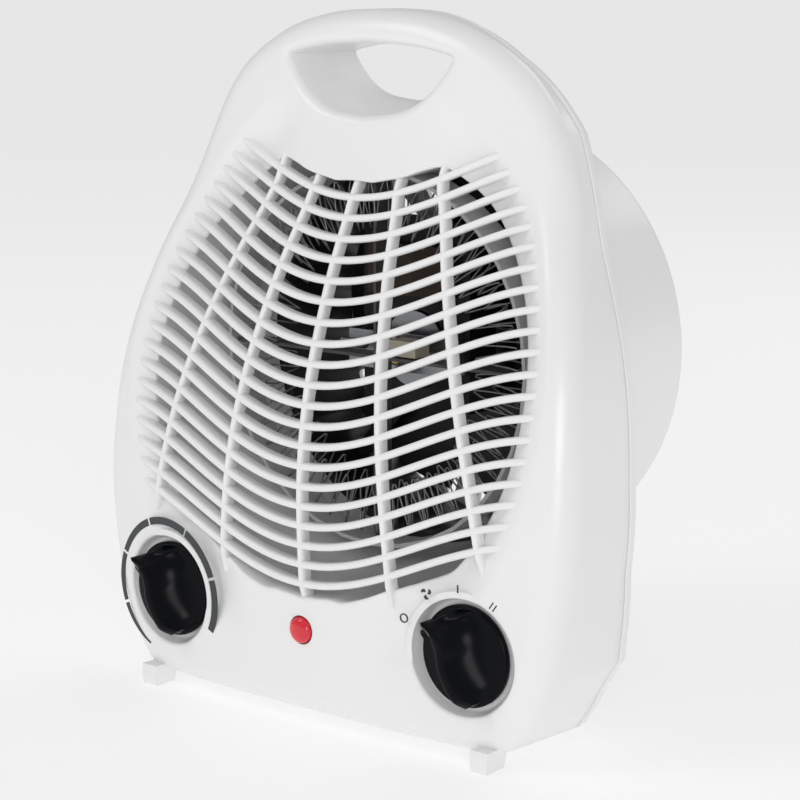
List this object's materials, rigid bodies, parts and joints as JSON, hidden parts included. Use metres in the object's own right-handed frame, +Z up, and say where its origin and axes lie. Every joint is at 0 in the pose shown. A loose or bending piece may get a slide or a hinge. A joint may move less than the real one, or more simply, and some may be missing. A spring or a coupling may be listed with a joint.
{
  "type": "upright fan convector heater",
  "caption": "Free-standing fan heater with a rounded white case, wave-patterned grille, carry-handle opening and two front dials",
  "frame": {"origin": "On the floor, on the plane of left-right symmetry, on the seam between the front and rear shells", "axes": "+Z up, front grille towards -Y, +X to the viewer's right"},
  "size_m": [0.2152, 0.1272, 0.255],
  "materials": {
    "shell": "satin-gloss white moulded ABS",
    "knob": "gloss black moulded plastic",
    "steel": "pressed and turned steel",
    "phenolic": "brown phenolic moulding",
    "insulator": "cream heat-resistant moulding",
    "lens": "translucent red plastic",
    "dark_plastic": "dark grey glass-filled plastic",
    "copper": "taped copper winding",
    "bronze": "sintered bronze and brass",
    "mica": "mica sheet",
    "ribbon": "heating-alloy ribbon",
    "cable": "black sheathed cable"
  },
  "bodies": {
    "casing": {"front_cover": "shell", "rear_cover": "shell", "thermostat_body": "phenolic", "selector_switch_body": "insulator", "indicator_lens": "lens", "indicator_neon_bulb": "insulator", "fan_shroud": "dark_plastic", "stator_core": "steel", "stator_winding": "copper", "motor_bracket_front": "steel", "motor_bracket_rear": "steel", "front_bearing": "bronze", "rear_bearing": "bronze", "heater_frame": "steel", "mica_board_upright": "mica", "mica_board_left": "mica", "mica_board_right": "mica", "heating_ribbon_front": "ribbon", "heating_ribbon_rear": "ribbon", "thermal_cutout": "insulator", "thermal_fuse": "steel", "terminal_block": "insulator", "cord_grip": "dark_plastic", "power_cord": "cable", "plug": "dark_plastic", "plug_pin_1": "bronze", "plug_pin_2": "bronze", "lead_to_switch": "cable", "lead_to_lamp": "cable", "case_screw_1": "steel", "case_screw_2": "steel", "case_screw_3": "steel", "case_screw_4": "steel"},
    "fan": {"fan_wheel": "dark_plastic", "fan_retaining_clip": "steel", "motor_shaft": "steel", "motor_rotor": "steel"},
    "thermostat_control": {"thermostat_knob": "knob", "thermostat_shaft": "steel"},
    "selector_control": {"selector_knob": "knob", "selector_shaft": "steel"}
  },
  "joints": [
    {"name": "fan_spin", "type": "hinge", "parent": "casing", "child": "fan", "pos_m": [0, 0.03, 0.13], "axis": [0, 1, 0], "continuous": true},
    {"name": "thermostat_turn", "type": "hinge", "parent": "casing", "child": "thermostat_control", "pos_m": [-0.0694, -0.05, 0.0389], "axis": [0, 1, 0], "range_deg": [-123, 151]},
    {"name": "selector_turn", "type": "hinge", "parent": "casing", "child": "selector_control", "pos_m": [0.0694, -0.05, 0.0389], "axis": [0, 1, 0], "range_deg": [-33, 65]}
  ]
}
